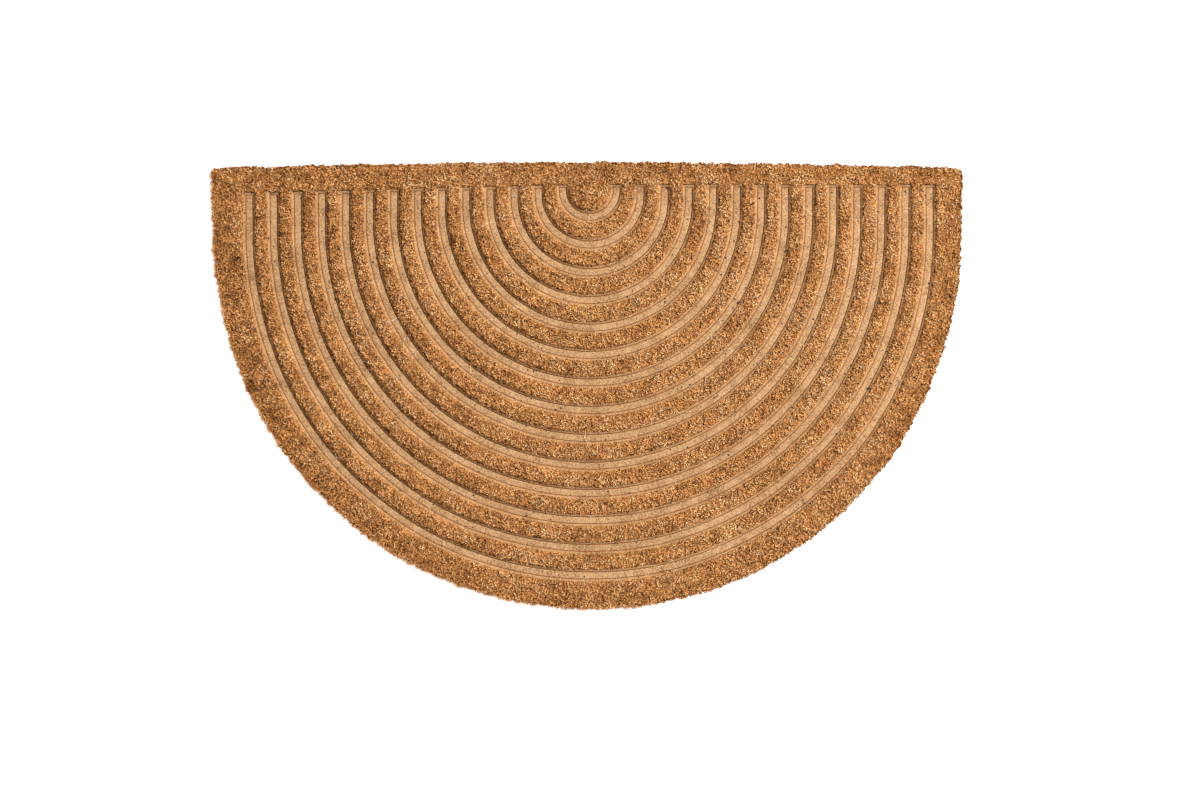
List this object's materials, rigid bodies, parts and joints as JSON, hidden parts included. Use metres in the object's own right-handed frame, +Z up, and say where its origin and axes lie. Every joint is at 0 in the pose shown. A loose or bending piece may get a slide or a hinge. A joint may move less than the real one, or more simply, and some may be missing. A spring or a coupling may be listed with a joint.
{
  "type": "coir doormat",
  "caption": "Half-round coir doormat, a flat slab of cut coconut-fibre pile with nested arches heat-pressed into its top, for wiping shoes at a door.",
  "frame": {"origin": "centre of the underside's box, on the surface that the mat lies on", "axes": "+Z up out of the pile, +Y towards the straight edge, +X along the straight edge, with the round edge towards -Y"},
  "size_m": [0.7526, 0.4472, 0.016],
  "materials": {
    "coir": "matte bristly cut pile, paler and smoother where it is heat-pressed"
  },
  "bodies": {
    "root": {"coir_mat": "coir"}
  },
  "joints": []
}
